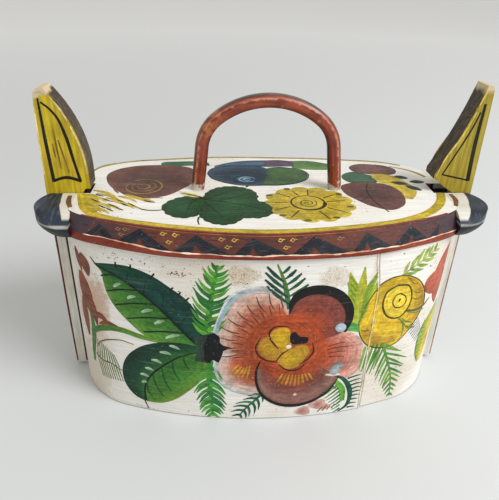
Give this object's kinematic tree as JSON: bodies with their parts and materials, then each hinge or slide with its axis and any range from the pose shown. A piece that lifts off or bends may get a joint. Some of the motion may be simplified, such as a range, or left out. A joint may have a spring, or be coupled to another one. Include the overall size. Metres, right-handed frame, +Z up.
{
  "type": "bentwood box",
  "caption": "Oval bentwood box with a bevelled lid that snaps between upright end posts and lifts off by an arched handle.",
  "frame": {"origin": "on the floor under the middle of the box", "axes": "+X along the box from the left post to the right post, -Y towards the painted front with the lap, +Z up"},
  "size_m": [0.2544, 0.1284, 0.1914],
  "materials": {
    "wall_paint": "worn cream oil paint with painted flowers",
    "lid_paint": "worn cream oil paint with a brick-red rim",
    "post_paint": "worn yellow ochre paint",
    "handle_paint": "worn brick-red paint",
    "bare_wood": "unpainted aged pine",
    "peg_wood": "unpainted hardwood"
  },
  "bodies": {
    "box": {"wall": "wall_paint", "bottom_board": "bare_wood", "bottom_pegs": "peg_wood", "lap_pegs": "peg_wood", "left_post_pegs": "peg_wood", "right_post_pegs": "peg_wood"},
    "left_post": {"left_post": "post_paint"},
    "right_post": {"right_post": "post_paint"},
    "lid": {"lid_board": "lid_paint", "lid_handle": "handle_paint", "left_handle_peg": "peg_wood", "right_handle_peg": "peg_wood"}
  },
  "joints": [
    {"name": "lid_lift", "type": "slide", "parent": "box", "child": "lid", "axis": [0, 0, 1], "range_m": [0, 0.078]},
    {"name": "left_post_flex", "type": "hinge", "parent": "box", "child": "left_post", "pos_m": [-0.117, 0, 0.003], "axis": [0, -1, 0], "range_deg": [0, 7.5], "stiffness_Nm_per_rad": 10},
    {"name": "right_post_flex", "type": "hinge", "parent": "box", "child": "right_post", "pos_m": [0.117, 0, 0.003], "axis": [0, 1, 0], "range_deg": [0, 7.5], "stiffness_Nm_per_rad": 10}
  ],
  "couplings": [
    {"joint": "left_post_flex", "follows": "lid_lift", "rad_per_m": 1.6},
    {"joint": "right_post_flex", "follows": "lid_lift", "rad_per_m": 1.6}
  ]
}
